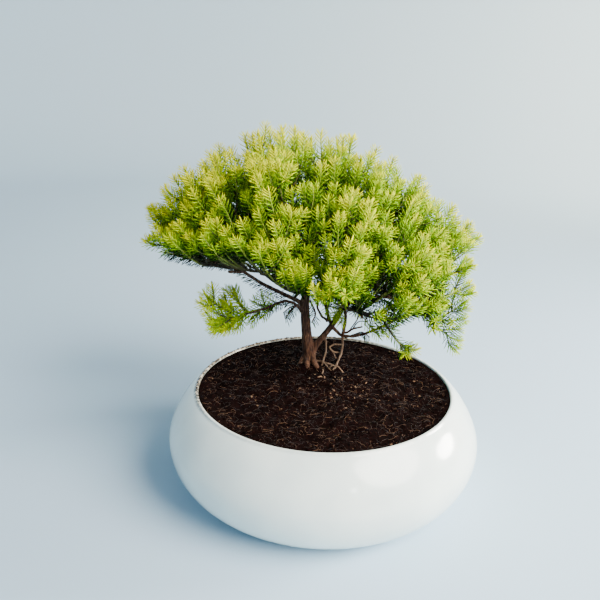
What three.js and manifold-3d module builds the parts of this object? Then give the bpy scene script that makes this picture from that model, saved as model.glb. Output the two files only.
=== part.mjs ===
// A dwarf needle-leaved tree trained as a bonsai, in a low round bowl of potting soil.
// Millimetres, +Z up. The origin is the middle of the bowl's foot, and the tree is seen from the -Y side.
import * as THREE from "three";
import { mergeVertices } from "three/addons/utils/BufferGeometryUtils.js";
import Module from "manifold-3d";

const wasm = await Module();
wasm.setup();
const { Vector2, Vector3 } = THREE;
const { lerp, clamp } = THREE.MathUtils;
const goldenTurn = Math.PI * (3 - Math.sqrt(5));
const goldenShare = (Math.sqrt(5) - 1) / 2;

// Driving sizes
const clearance = 0.3; // between pieces that rest against each other
const bowl = {
  height: 87,
  footRadius: 84,
  bellyRadius: 130,
  bellyHeight: 46,
  rimRadius: 107.5,
  lip: 2.6,
  wall: 5.5,
  floor: 7,
  sides: 36,
};
const soil = { belowRim: 3.5, mound: 4.5, moundSpread: 42, ripple: 0.7, rings: [82, 54, 26] };
const crown = {
  hub: new Vector3(-4, 45, 168), // the sprays point away from here
  middle: new Vector3(-9, 45, 205), // of the widest level
  width: 139, // half the spread from left to right, to the ends of the sprays
  depth: 108, // half the spread from front to back
  rise: 92, // of the top above the widest level
  droop: 42, // of the skirt below the widest level
  sideDroop: 24, // less droop on the left, and more on the right
  lean: 8, // the left side stands higher than the middle, and the right side lower
  lowest: -0.36, // the height share at the bottom of the skirt
  sprays: 29,
  firstTurn: 0.72, // of the spray at the top, in radians
  unevenTurn: 0.35, // at most, of any spray
};
const spray = {
  length: 62,
  footRadius: 1.5,
  footDrop: [6, 14], // of the foot below the line from the hub, at the top and on the skirt
  bareLength: 22,
  lift: 1, // how far its end turns up: 1 is halfway to upright
  hangingLift: 0.4,
  sideShoots: 3,
  sideFrom: 0.22, // where the side shoots start and end, as shares of its stem
  sideTo: 0.77,
  sideLean: 0.62, // of a side shoot as it leaves: 1 is square to the stem
  sideLength: 37,
};
const shoot = {
  radius: 1.15,
  sideFootRadius: 0.4, // where a side shoot starts inside its stem
  bareLength: 8,
  whorlStep: 10,
  whorlTurn: 0.5, // from one whorl to the next, in radians
  needle: 9.6,
  needleBand: 1.15, // the thickness of a needle at its foot
  lean: [1.05, 0.5], // of a needle from its stem, at the foot and the tip of the shoot, in radians
  tipLength: 3,
};
const twig = { footRadius: 1, middleRadius: 1.4, sides: 4, reachBack: 16 };

// The stems, limbs and exposed roots: points on their middle line, chosen by eye, and a radius at each
const wood = {
  trunk: {
    path: [[-12, 45, 56], [-12, 45, 83], [-12, 45, 93], [-14, 45, 107], [-16, 45, 125], [-17, 45, 147],
      [-14, 46, 168], [-10, 47, 188]],
    radii: [3.4, 6.6, 5.6, 4.5, 4, 3.7, 3.1, 2.4],
    sides: 8,
  },
  secondStem: {
    path: [[-12, 45, 94], [-4, 45, 108], [7, 46, 122], [15, 44, 138], [21, 43, 158], [27, 42, 180]],
    radii: [3.2, 2.9, 2.7, 2.5, 2.3, 1.9],
    sides: 5,
  },
  backStem: {
    path: [[7, 46, 122], [2, 54, 136], [-2, 63, 154], [0, 72, 176]],
    radii: [1.7, 1.6, 1.5, 1.3],
    sides: 4,
  },
  limbLeft: {
    path: [[-16, 45, 142], [-34, 42, 152], [-57, 40, 164], [-78, 38, 180]],
    radii: [2.3, 1.9, 1.7, 1.4],
    sides: 4,
  },
  limbLowLeft: {
    path: [[-16, 45, 134], [-32, 33, 150], [-48, 24, 147], [-62, 17, 142]],
    radii: [1.9, 1.5, 1.3, 1.1],
    sides: 4,
  },
  limbFront: {
    path: [[-16, 45, 152], [-18, 28, 166], [-22, 10, 172], [-24, -6, 174]],
    radii: [2.3, 1.9, 1.6, 1.3],
    sides: 4,
  },
  limbLeftBack: {
    path: [[-14, 46, 164], [-34, 62, 178], [-54, 74, 188], [-66, 82, 194]],
    radii: [2.2, 1.9, 1.6, 1.3],
    sides: 4,
  },
  limbTop: {
    path: [[-10, 47, 184], [-20, 39, 204], [-30, 36, 222], [-34, 36, 236]],
    radii: [2.2, 1.8, 1.5, 1.2],
    sides: 4,
  },
  limbBack: {
    path: [[0, 72, 172], [4, 86, 184], [2, 98, 194], [-4, 110, 200]],
    radii: [1.5, 1.5, 1.4, 1.2],
    sides: 4,
  },
  limbRight: {
    path: [[19, 43, 152], [40, 40, 168], [58, 40, 176], [74, 43, 180]],
    radii: [2.1, 1.8, 1.6, 1.3],
    sides: 4,
  },
  limbRightFront: {
    path: [[16, 44, 142], [32, 27, 156], [44, 12, 162], [52, -4, 164]],
    radii: [2, 1.7, 1.4, 1.2],
    sides: 4,
  },
  limbRightTop: {
    path: [[26, 42, 176], [31, 45, 196], [33, 50, 212], [31, 52, 228]],
    radii: [1.9, 1.6, 1.4, 1.2],
    sides: 4,
  },
  limbRightBack: {
    path: [[24, 42, 170], [32, 56, 176], [38, 70, 174], [42, 82, 168]],
    radii: [1.8, 1.6, 1.4, 1.2],
    sides: 4,
  },
  limbLowRight: {
    path: [[7, 46, 122], [18, 44, 113], [34, 40, 117], [50, 34, 127], [64, 30, 137]],
    radii: [1.8, 1.5, 1.4, 1.2, 1.1],
    sides: 4,
  },
  rootNear: {
    path: [[1, 45.5, 114], [3, 42, 102], [0, 39, 90], [-3, 37, 78]],
    radii: [1.1, 0.95, 0.9, 0.7],
    sides: 4,
  },
  rootFar: {
    path: [[17, 44, 113.5], [17, 40, 102], [12, 34, 90], [7, 31, 78]],
    radii: [1.2, 1.05, 1, 0.7],
    sides: 4,
  },
};
const standingInSoil = ["trunk", "rootNear", "rootFar"];

// The low sprays that hang out of the skirt on the left and the right: foot and tip, chosen by eye
const hangingSprays = [
  [[-64, 15, 145], [-99, 2, 148]],
  [[52, 26, 134], [72, 0, 122]],
  [[70, 28, 146], [108, -2, 146]],
];

// A seeded draw from 0 to 1: the same number always gives the same draw
function draw(number) {
  let bits = Math.imul(number ^ 0x9e3779b9, 0x85ebca6b);
  bits ^= bits >>> 13;
  bits = Math.imul(bits, 0xc2b2ae35);
  bits ^= bits >>> 16;
  return (bits >>> 0) / 4294967296;
}

const between = (a, b, share) => a.clone().lerp(b, share);
const along = (start, direction, distance) => start.clone().addScaledVector(direction, distance);
const evenShares = (steps) => Array.from({ length: steps + 1 }, (_, i) => i / steps);

// The solid inside a closed geometry
function solidOf(geometry) {
  const bare = geometry.clone().deleteAttribute("normal").deleteAttribute("uv");
  const merged = mergeVertices(bare, 1e-4);
  const corners = merged.index.array;
  const triVerts = [];
  for (let i = 0; i < corners.length; i += 3) {
    const [a, b, c] = corners.subarray(i, i + 3);
    if (a !== b && b !== c && c !== a) triVerts.push(a, b, c);
  }
  const vertProperties = merged.attributes.position.array;
  const mesh = new wasm.Mesh({ numProp: 3, vertProperties, triVerts: new Uint32Array(triVerts) });
  return new wasm.Manifold(mesh);
}

function geometryOf(solid) {
  const mesh = solid.getMesh();
  const geometry = new THREE.BufferGeometry();
  geometry.setAttribute("position", new THREE.BufferAttribute(mesh.vertProperties, 3));
  geometry.setIndex(new THREE.BufferAttribute(mesh.triVerts, 1));
  return geometry;
}

// A closed skin over equal rings of points. A face that apexFor gives a point is raised to it as a spike.
function skin(rings, apexFor = () => null) {
  const points = rings.flat();
  const sides = rings[0].length;
  const faces = [];
  const addFace = (band, ...corners) => {
    const apex = apexFor(band, corners.map((i) => points[i]));
    if (!apex) {
      faces.push(...corners);
      return;
    }
    const [a, b, c] = corners;
    const top = points.push(apex) - 1;
    faces.push(a, b, top, b, c, top, c, a, top);
  };
  for (let band = 0; band + 1 < rings.length; band++) {
    const low = band * sides;
    const high = low + sides;
    for (let k = 0; k < sides; k++) {
      const next = (k + 1) % sides;
      addFace(band, low + k, low + next, high + k);
      addFace(band, low + next, high + next, high + k);
    }
  }
  const last = (rings.length - 1) * sides;
  for (let k = 1; k + 1 < sides; k++) {
    addFace("foot", 0, k + 1, k);
    addFace("end", last, last + k, last + k + 1);
  }
  const geometry = new THREE.BufferGeometry();
  const coordinates = points.flatMap((point) => point.toArray());
  geometry.setAttribute("position", new THREE.Float32BufferAttribute(coordinates, 3));
  geometry.setIndex(faces);
  return geometry;
}

// Points on a curve at the given shares of its length, each with a tangent and an untwisted pair of normals
function framesAlong(curve, shares) {
  let side = new Vector3(0.31, -0.83, 0.47).cross(curve.getTangentAt(shares[0]));
  return shares.map((share) => {
    const tangent = curve.getTangentAt(share);
    side = along(side, tangent, -side.dot(tangent)).normalize();
    return { point: curve.getPointAt(share), tangent, side, across: tangent.clone().cross(side) };
  });
}

function aroundFrame({ point, side, across }, radius, angle) {
  return along(along(point, side, radius * Math.cos(angle)), across, radius * Math.sin(angle));
}

function ringOf(frame, radius, sides, turn) {
  const step = (2 * Math.PI) / sides;
  return Array.from({ length: sides }, (_, k) => aroundFrame(frame, radius, turn + k * step));
}

// What already takes up room, as tapered segments, so that needles are bent clear of it or left out
const taken = [];

function takeRoom(points, radii, owner = null) {
  for (let i = 0; i + 1 < points.length; i++) {
    taken.push({ owner, a: points[i], b: points[i + 1], ra: radii[i], rb: radii[i + 1] });
  }
}

// The gap between two tapered segments where their middle lines are nearest
function gapBetween(one, other) {
  const d1 = one.b.clone().sub(one.a);
  const d2 = other.b.clone().sub(other.a);
  const apart = one.a.clone().sub(other.a);
  const [d11, d22, d12] = [d1.dot(d1), d2.dot(d2), d1.dot(d2)];
  const crossing = d11 * d22 - d12 * d12;
  const first = crossing > 1e-9 ? clamp((d12 * d2.dot(apart) - d1.dot(apart) * d22) / crossing, 0, 1) : 0;
  const t = clamp((d12 * first + d2.dot(apart)) / d22, 0, 1);
  const s = clamp((d12 * t - d1.dot(apart)) / d11, 0, 1);
  const distance = along(one.a, d1, s).distanceTo(along(other.a, d2, t));
  return distance - lerp(one.ra, one.rb, s) - lerp(other.ra, other.rb, t);
}

function isClear(segment, owner, room) {
  const middle = between(segment.a, segment.b, 0.5);
  const reach = segment.a.distanceTo(segment.b) / 2 + 8;
  return taken.every((other) => {
    if (other.owner === owner) return true;
    const far = reach + other.a.distanceTo(other.b) / 2;
    return middle.distanceTo(between(other.a, other.b, 0.5)) > far || gapBetween(segment, other) > room;
  });
}

// The bowl

// The lower and upper curves of the bowl's wall, set in from the outside by the given inset
function wallCurves(inset, bottom, top) {
  const belly = new Vector2(bowl.bellyRadius - inset, bowl.bellyHeight);
  const rim = new Vector2(bowl.rimRadius - inset / 2, top);
  const roundness = 0.55; // close to a quarter of an ellipse
  const lower = new THREE.CubicBezierCurve(
    new Vector2(bowl.footRadius, bottom),
    new Vector2(lerp(bowl.footRadius, belly.x, roundness), bottom),
    new Vector2(belly.x, lerp(belly.y, bottom, roundness)),
    belly,
  );
  const upper = new THREE.CubicBezierCurve(
    belly,
    new Vector2(belly.x, belly.y + 12),
    new Vector2(rim.x + 10, rim.y - 7),
    rim,
  );
  return { lower, upper };
}

const lipEdge = bowl.rimRadius - bowl.lip;
const inside = wallCurves(bowl.wall, bowl.floor, bowl.height - bowl.lip);
const insideSteps = { lower: 3, upper: 3 };

function makeBowl() {
  const outside = wallCurves(0, 0, bowl.height - 1);
  const profile = [
    new Vector2(0, 0),
    ...outside.lower.getPoints(5),
    ...outside.upper.getPoints(5).slice(1),
    new Vector2(bowl.rimRadius - 0.8, bowl.height),
    new Vector2(lipEdge + 0.8, bowl.height),
    new Vector2(lipEdge, bowl.height - 0.9),
    ...inside.upper.getPoints(insideSteps.upper).reverse(),
    ...inside.lower.getPoints(insideSteps.lower).reverse().slice(1),
    new Vector2(0, bowl.floor),
  ];
  return new THREE.LatheGeometry(profile, bowl.sides).rotateX(Math.PI / 2);
}

// The soil: it fills the bowl, and its top is a low uneven mound round the trunk

const soilTop = bowl.height - soil.belowRim;

function soilHeight(x, y) {
  const [trunkX, trunkY] = wood.trunk.path[0];
  const fromTrunk = Math.hypot(x - trunkX, y - trunkY) / soil.moundSpread;
  const fade = 1 - Math.min(1, Math.hypot(x, y) / lipEdge) ** 6;
  const uneven = Math.sin(x * 0.11 + 1) * Math.cos(y * 0.13) + 0.6 * Math.sin(x * 0.23 - y * 0.19);
  return soilTop + fade * (soil.mound * Math.exp(-fromTrunk * fromTrunk) + soil.ripple * uneven);
}

function makeSoil() {
  const setIn = ({ x, y }) => new Vector2(x - 1.5 * clearance, Math.max(y, bowl.floor + clearance));
  const profile = [
    new Vector2(0, bowl.floor + clearance),
    ...inside.lower.getPoints(insideSteps.lower).map(setIn),
    ...inside.upper.getPoints(insideSteps.upper).slice(1, -1).map(setIn),
    new Vector2(lipEdge - clearance, soilTop),
    ...soil.rings.map((radius) => new Vector2(radius, soilTop)),
    new Vector2(0, soilTop),
  ];
  const geometry = new THREE.LatheGeometry(profile, bowl.sides).rotateX(Math.PI / 2);
  const place = geometry.attributes.position;
  for (let i = 0; i < place.count; i++) {
    const onTop = place.getZ(i) > soilTop - 0.01;
    if (onTop) place.setZ(i, soilHeight(place.getX(i), place.getY(i)));
  }
  return geometry;
}

// The tree

const limbs = Object.entries(wood).map(([name, { path, radii, sides }]) => {
  const curve = new THREE.CatmullRomCurve3(path.map((point) => new Vector3(...point)));
  const radiusAt = (share) => {
    const place = share * (radii.length - 1);
    const below = Math.min(radii.length - 2, Math.floor(place));
    return lerp(radii[below], radii[below + 1], place - below);
  };
  const carries = name.startsWith("limb");
  return { name, curve, radiusAt, sides, steps: path.length + 1, carries, usedTo: carries ? 0.5 : 1 };
});

function limbSkin({ curve, radiusAt, sides, steps, usedTo }, wider = 0) {
  const shares = evenShares(steps).map((share) => share * usedTo);
  const frames = framesAlong(curve, shares);
  return skin(frames.map((frame, i) => ringOf(frame, radiusAt(shares[i]) + wider, sides, 0)));
}

// A twig leaves the limb that passes nearest and ends against a spray's foot, in line with it
function makeTwig(foot, direction) {
  const wish = along(foot, direction, -twig.reachBack);
  let nearest = null;
  limbs.filter(({ carries }) => carries).forEach((limb) => {
    evenShares(40).slice(12).forEach((share) => {
      const start = limb.curve.getPointAt(share);
      const distance = start.distanceTo(wish);
      if (!nearest || distance < nearest.distance) nearest = { limb, share, start, distance };
    });
  });
  const { limb, share, start } = nearest;
  limb.usedTo = Math.max(limb.usedTo, share);
  const elbow = along(foot, direction, -0.4 * start.distanceTo(foot));
  const curve = new THREE.QuadraticBezierCurve3(start, elbow, along(foot, direction, -clearance));
  const frames = framesAlong(curve, evenShares(2));
  const radii = [twig.footRadius, twig.middleRadius, spray.footRadius];
  takeRoom(frames.map(({ point }) => point), radii);
  return skin(frames.map((frame, i) => ringOf(frame, radii[i], twig.sides, 0)));
}

// The sprays

// The crown's outer face at a turn about its middle and a height share: 1 at the top, 0 at its widest
function crownPoint(turn, share) {
  const { middle, width, depth, rise, droop, sideDroop, lean, lowest } = crown;
  const out = Math.sqrt(1 - share * share);
  const rightward = Math.cos(turn);
  const fullness = 1.8 - 0.42 * rightward; // blunter on the left, sloping on the right
  const above = rise * (1 - out ** fullness) ** 0.625;
  const below = (droop + sideDroop * rightward) * (share / lowest);
  return new Vector3(
    middle.x + width * out * rightward,
    middle.y + depth * out * Math.sin(turn),
    middle.z - lean * out * rightward + (share > 0 ? above : -below),
  );
}

// A stem that leaves its foot for its tip and turns up towards its end
function risingStem(foot, tip, lift) {
  const ending = tip.clone().sub(foot).normalize();
  ending.z += lift;
  const bend = along(tip, ending.normalize(), -0.45 * foot.distanceTo(tip));
  return new THREE.QuadraticBezierCurve3(foot, bend, tip);
}

function mainStems() {
  const stems = [];
  for (let i = 0; i < crown.sprays; i++) {
    const share = 1 - (1 - crown.lowest) * ((i + 0.5) / crown.sprays);
    const tip = crownPoint(crown.firstTurn + i * goldenTurn + crown.unevenTurn * draw(i), share);
    const inward = crown.hub.clone().sub(tip).normalize();
    const foot = along(tip, inward, spray.length);
    foot.z -= lerp(spray.footDrop[1], spray.footDrop[0], Math.max(0, share));
    stems.push(risingStem(foot, tip, spray.lift));
  }
  hangingSprays.forEach(([foot, tip]) => {
    stems.push(risingStem(new Vector3(...foot), new Vector3(...tip), spray.hangingLift));
  });
  return stems;
}

// The side shoots of a stem, even along it and round it
function sideStems(number, stem) {
  return Array.from({ length: spray.sideShoots }, (_, j) => {
    const share = lerp(spray.sideFrom, spray.sideTo, (0.2 + j * goldenShare) % 1);
    const [frame] = framesAlong(stem, [share]);
    const turn = j * goldenTurn + 2 * Math.PI * draw(number + 500);
    const outward = aroundFrame(frame, 1, turn).sub(frame.point);
    const leaving = between(frame.tangent, outward, spray.sideLean).normalize();
    const ending = between(leaving, stem.getTangentAt(1), 0.45);
    ending.z += 0.18;
    const half = 0.5 * spray.sideLength * (1.02 - 0.3 * share) * (0.9 + 0.25 * draw(1000 + number * 100 + j));
    const elbow = along(frame.point, leaving, half);
    return new THREE.QuadraticBezierCurve3(frame.point, elbow, along(elbow, ending.normalize(), half));
  });
}

// A needle's tip, bent aside or shortened until it is clear of everything but its own shoot
function needleTip(owner, base, tangent, outward, share, number) {
  const lean = lerp(...shoot.lean, share);
  const length = shoot.needle * (1 - 0.25 * share * share) * (0.92 + 0.16 * draw(number));
  const tries = [[0, 1], [0.25, 0.85], [0, 0.6], [0.3, 0.5]];
  for (const [moreLean, lengthShare] of tries) {
    const angle = lean + moreLean;
    const reach = length * lengthShare;
    const tip = along(along(base, tangent, reach * Math.cos(angle)), outward, reach * Math.sin(angle));
    const needle = { owner, a: between(base, tip, 0.12), b: tip, ra: 0.85, rb: 0.1 };
    if (isClear(needle, owner, clearance)) return needle;
  }
  return null;
}

// One leafy shoot: a slim three-sided stem, with whorls of needles raised from its faces
function leafyShoot(stem, bareLength, footRadius, number) {
  const length = stem.getLength();
  const lastWhorl = length - shoot.tipLength;
  const steps = Math.max(1, Math.round((lastWhorl - bareLength) / shoot.whorlStep));
  const stations = [{ at: 0, radius: footRadius }];
  evenShares(steps).forEach((share) => {
    const at = lerp(bareLength, lastWhorl, share);
    const radius = shoot.radius * (1 - (0.25 * at) / length);
    stations.push({ at: at - shoot.needleBand / 2, radius }, { at: at + shoot.needleBand / 2, radius });
  });
  const frames = framesAlong(stem, stations.map(({ at }) => at / length));
  // Half a side's turn across each needle band makes its six faces alike
  const turnAt = (i) => (i * Math.PI) / 3 - Math.floor((i + 1) / 2) * shoot.whorlTurn;
  const rings = frames.map((frame, i) => ringOf(frame, stations[i].radius, 3, turnAt(i)));
  const needles = [];
  const geometry = skin(rings, (band, corners) => {
    if (band === "end") return stem.getPointAt(1);
    const bearsNeedles = band % 2 === 1;
    if (!bearsNeedles) return null;
    const base = corners[0].clone().add(corners[1]).add(corners[2]).divideScalar(3);
    const { point, tangent } = frames[band];
    const outward = base.clone().sub(point);
    outward.addScaledVector(tangent, -outward.dot(tangent)).normalize();
    const share = stations[band].at / length;
    const needle = needleTip(stem, base, tangent, outward, share, number * 1000 + needles.length);
    if (!needle) return null;
    needles.push(needle);
    return needle.b;
  });
  taken.push(...needles);
  return geometry;
}

const stemPoints = (stem) => stem.getSpacedPoints(6);

function hasRoom(stem) {
  const points = stemPoints(stem).slice(2);
  return points.slice(1).every((point, i) => {
    const segment = { a: points[i], b: point, ra: shoot.radius, rb: shoot.radius };
    return isClear(segment, stem, 1);
  });
}

function takeStemRoom(stem, footRadius) {
  const points = stemPoints(stem);
  takeRoom(points, points.map((_, i) => (i ? shoot.radius : footRadius)), stem);
}

// The wood takes its room first, then the stems of the sprays, and last their needles
limbs.forEach(({ curve, radiusAt, steps }) => {
  const shares = evenShares(steps);
  takeRoom(shares.map((share) => curve.getPointAt(share)), shares.map(radiusAt));
});
const stems = mainStems();
const twigs = stems.map((stem) => makeTwig(stem.v0, stem.getTangentAt(0)));
stems.forEach((stem) => takeStemRoom(stem, spray.footRadius));
const sprays = stems.map((stem, number) => {
  const shoots = [{ stem, bareLength: spray.bareLength, footRadius: spray.footRadius }];
  sideStems(number, stem).filter(hasRoom).forEach((side) => {
    takeStemRoom(side, shoot.sideFootRadius);
    shoots.push({ stem: side, bareLength: shoot.bareLength, footRadius: shoot.sideFootRadius });
  });
  return shoots;
});

// The finished object

const finishes = {
  bowl: new THREE.MeshStandardMaterial({ color: 0xe9eeee, roughness: 0.12, metalness: 0 }),
  soil: new THREE.MeshStandardMaterial({ color: 0x22150f, roughness: 0.95, metalness: 0 }),
  bark: new THREE.MeshStandardMaterial({ color: 0x4a2f25, roughness: 0.9, metalness: 0 }),
  needles: new THREE.MeshStandardMaterial({ color: 0x9cbf1c, roughness: 0.55, metalness: 0 }),
};

const bonsai = new THREE.Group();

function addPiece(name, geometry, finish) {
  const mesh = new THREE.Mesh(geometry, finish);
  mesh.name = name;
  bonsai.add(mesh);
}

const fuse = (geometries) => wasm.Manifold.union(geometries.map(solidOf));
const inSoil = limbs.filter(({ name }) => standingInSoil.includes(name));
const holes = inSoil.map((limb) => limbSkin(limb, 1.5 * clearance));

addPiece("bowl", makeBowl(), finishes.bowl);
addPiece("soil", geometryOf(solidOf(makeSoil()).subtract(fuse(holes))), finishes.soil);
addPiece("tree", geometryOf(fuse([...limbs.map((limb) => limbSkin(limb)), ...twigs])), finishes.bark);
sprays.forEach((shoots, i) => {
  const leafy = shoots.map(({ stem, bareLength, footRadius }, j) =>
    leafyShoot(stem, bareLength, footRadius, i * 10 + j),
  );
  addPiece(`spray_${String(i + 1).padStart(2, "0")}`, geometryOf(fuse(leafy)), finishes.needles);
});

export default bonsai;
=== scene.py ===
# A dwarf conifer bonsai with lime green shoots, in a low round bowl glazed white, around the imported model.
# Each piece is worked out in millimetres in the model's frame and turned to metres when it is finished.
import math
import bmesh
import bpy
import numpy as np
from mathutils import Matrix, Vector, noise
from mathutils.geometry import interpolate_bezier


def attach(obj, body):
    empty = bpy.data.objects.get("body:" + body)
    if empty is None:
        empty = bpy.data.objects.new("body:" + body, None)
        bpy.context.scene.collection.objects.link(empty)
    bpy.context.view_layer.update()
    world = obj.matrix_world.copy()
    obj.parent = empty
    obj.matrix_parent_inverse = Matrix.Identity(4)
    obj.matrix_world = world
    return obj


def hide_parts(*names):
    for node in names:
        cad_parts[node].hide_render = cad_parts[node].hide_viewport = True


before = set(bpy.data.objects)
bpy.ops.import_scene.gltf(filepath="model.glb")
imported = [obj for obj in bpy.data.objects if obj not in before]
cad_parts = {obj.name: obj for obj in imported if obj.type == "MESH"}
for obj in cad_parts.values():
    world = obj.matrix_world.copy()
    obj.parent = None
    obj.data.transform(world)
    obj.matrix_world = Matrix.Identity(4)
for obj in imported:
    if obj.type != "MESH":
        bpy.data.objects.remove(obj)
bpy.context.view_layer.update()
print("frame loaded with", len(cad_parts), "nodes")

mmPerMetre = 1000
metresPerMm = 1 / mmPerMetre
goldenTurn = math.pi * (3 - math.sqrt(5))
goldenShare = (math.sqrt(5) - 1) / 2
mixShare, mixFirst, mixSecond, mixResult = 0, 6, 7, 2  # a Mix node's sockets where it mixes colours


def draw(number):  # a seeded draw from 0 to 1: the same number always gives the same draw
    bits = ((number ^ 0x9e3779b9) * 0x85ebca6b) & 0xffffffff
    bits ^= bits >> 13
    bits = (bits * 0xc2b2ae35) & 0xffffffff
    bits ^= bits >> 16
    return bits / 4294967296


def between(low, high, share):
    return low + (high - low) * share


def within(value):  # kept from 0 to 1
    return max(0.0, min(1.0, value))


def climb(value, start, end):  # 0 at the start and 1 at the end, whichever of them is the higher
    return within((value - start) / (end - start))


def linearColour(code):  # an sRGB hex value as linear red, green, blue and alpha
    channels = [int(code[i:i + 2], 16) / 255 for i in (0, 2, 4)]
    linear = [c / 12.92 if c <= 0.04045 else ((c + 0.055) / 1.055) ** 2.4 for c in channels]
    return (*linear, 1.0)


def setSockets(node, values):  # a value that is another node's socket is linked
    for socket, value in values.items():
        if isinstance(value, bpy.types.NodeSocket):
            node.id_data.links.new(value, node.inputs[socket])
        else:
            node.inputs[socket].default_value = value


def addNode(nodeTree, kind, values=None, output=0, stops=(), **settings):  # gives back the node's output
    node = nodeTree.nodes.new("ShaderNode" + kind)
    for name, value in settings.items():
        setattr(node, name, value)
    setSockets(node, values or {})
    if stops:  # a colour ramp's stops, as places and hex colours
        ramp = node.color_ramp.elements
        while len(ramp) < len(stops):
            ramp.new(1.0)
        for element, (place, code) in zip(ramp, stops):
            element.position = place
            element.color = linearColour(code)
    return node.outputs[output] if node.outputs else None


def newMaterial(name, shaderValues):
    material = bpy.data.materials.new(name)
    material.use_nodes = True
    nodeTree = material.node_tree
    nodeTree.nodes.clear()
    surface = addNode(nodeTree, "BsdfPrincipled", shaderValues)
    addNode(nodeTree, "OutputMaterial", {"Surface": surface})
    return material, nodeTree, surface.node


def spinProfile(profile, turns):  # points in the XZ plane, turned round the Z axis into a skin
    bm = bmesh.new()
    corners = [bm.verts.new(point) for point in profile]
    for a, b in zip(corners, corners[1:]):
        bm.edges.new((a, b))
    bmesh.ops.spin(bm, geom=bm.verts[:] + bm.edges[:], axis=(0, 0, 1), cent=(0, 0, 0), steps=turns,
                   angle=2 * math.pi, use_merge=True)
    bmesh.ops.remove_doubles(bm, verts=bm.verts, dist=0.001)
    bmesh.ops.recalc_face_normals(bm, faces=bm.faces)
    return bm


def meshObject(name, bm, *materials):  # a mesh in millimetres becomes an object in metres
    mesh = bpy.data.meshes.new(name)
    bm.to_mesh(mesh)
    bm.free()
    mesh.transform(Matrix.Scale(metresPerMm, 4))
    mesh.shade_smooth()
    for material in materials:
        mesh.materials.append(material)
    made = bpy.data.objects.new(name, mesh)
    bpy.context.scene.collection.objects.link(made)
    return made


def finishPiece(name, bm, materials, slot, *nodes):  # a piece of the plant or its pot
    piece = meshObject(name, bm, *materials)
    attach(piece, "root")
    if nodes:
        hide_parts(*nodes)


cameraValues = {
    "place": (-0.02144, -0.53210, 0.35249),  # metres
    "lookDown": 19.65,  # degrees below level
    "roll": 1.11,
    "lens": 42,
    "sensor": 36,
}


def addCamera():
    data = bpy.data.cameras.new("photoCamera")
    data.lens = cameraValues["lens"]
    data.sensor_width = cameraValues["sensor"]
    camera = bpy.data.objects.new("photoCamera", data)
    tilt = Matrix.Rotation(math.radians(90 - cameraValues["lookDown"]), 4, "X")
    roll = Matrix.Rotation(math.radians(cameraValues["roll"]), 4, "Z")
    camera.matrix_world = Matrix.Translation(cameraValues["place"]) @ tilt @ roll
    bpy.context.scene.collection.objects.link(camera)
    bpy.context.scene.camera = camera


backdropValues = {
    "floorRadius": 1500,
    "sweep": 700,  # radius of the curve from the floor to the wall
    "sweepSteps": 12,
    "height": 2200,
    "turns": 96,
    "colour": "aec8dc",
}


def addBackdrop():
    v = backdropValues
    floor, sweep = v["floorRadius"], v["sweep"]
    outline = [(floor * share, 0) for share in (0, 0.25, 0.5, 0.75)]
    for step in range(v["sweepSteps"] + 1):
        angle = math.pi / 2 * step / v["sweepSteps"]
        outline.append((floor + sweep * math.sin(angle), sweep * (1 - math.cos(angle))))
    outline.append((floor + sweep, v["height"]))
    bm = spinProfile([(radius, 0, height) for radius, height in outline], v["turns"])
    # Matt backdrop paper: it takes soft shadows and shows no highlight
    material, nodeTree, shader = newMaterial("backdropPaper", {
        "Roughness": 0.9, "Specular IOR Level": 0.2, "Base Color": linearColour(v["colour"])})
    backdrop = meshObject("paperSweep", bm, material)
    if backdrop.data.polygons[0].normal.z < 0:
        backdrop.data.flip_normals()


lightValues = {  # places and sizes in metres, spreads in degrees and powers in watts
    "window": {"place": (1.1, 0.15, 0.32), "aim": (0, 0, 0.1), "size": (0.4, 0.3), "spread": 120,
               "power": 13, "colour": "fff8ee"},
    "softbox": {"place": (0.95, -0.72, 0.95), "aim": (0.06, 0.0, 0.07), "size": (1.2, 1.2), "spread": 120,
                "power": 43.5, "colour": "fff6ea"},
    "wallWash": {"place": (1.5, 0.9, 1.3), "aim": (1.0, 2.0, 0.6), "size": (0.7, 0.7), "spread": 150,
                 "power": 80, "colour": "ffe9c8"},
    "lamp": {"place": (0.45, -1.23, 0.55), "aim": (0, 0, 0.07), "size": (0.07, 0.07), "spread": 180,
             "power": 0.8, "colour": "ffffff"},
}
skyValues = {"colour": "d3e0eb", "strength": 0.42}


def addLights():
    for name, v in lightValues.items():
        data = bpy.data.lights.new(name, "AREA")
        data.shape = "ELLIPSE"
        data.size, data.size_y = v["size"]
        data.spread = math.radians(v["spread"])
        data.energy = v["power"]
        data.color = linearColour(v["colour"])[:3]
        light = bpy.data.objects.new(name, data)
        place = Vector(v["place"])
        aim = (Vector(v["aim"]) - place).to_track_quat("-Z", "Y")
        light.matrix_world = Matrix.Translation(place) @ aim.to_matrix().to_4x4()
        bpy.context.scene.collection.objects.link(light)
    world = bpy.data.worlds.new("paleSky")
    world.use_nodes = True
    background = world.node_tree.nodes["Background"]
    background.inputs["Color"].default_value = linearColour(skyValues["colour"])
    background.inputs["Strength"].default_value = skyValues["strength"]
    bpy.context.scene.world = world


addCamera()
addBackdrop()
addLights()
print("camera, backdrop and lights set")


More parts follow.
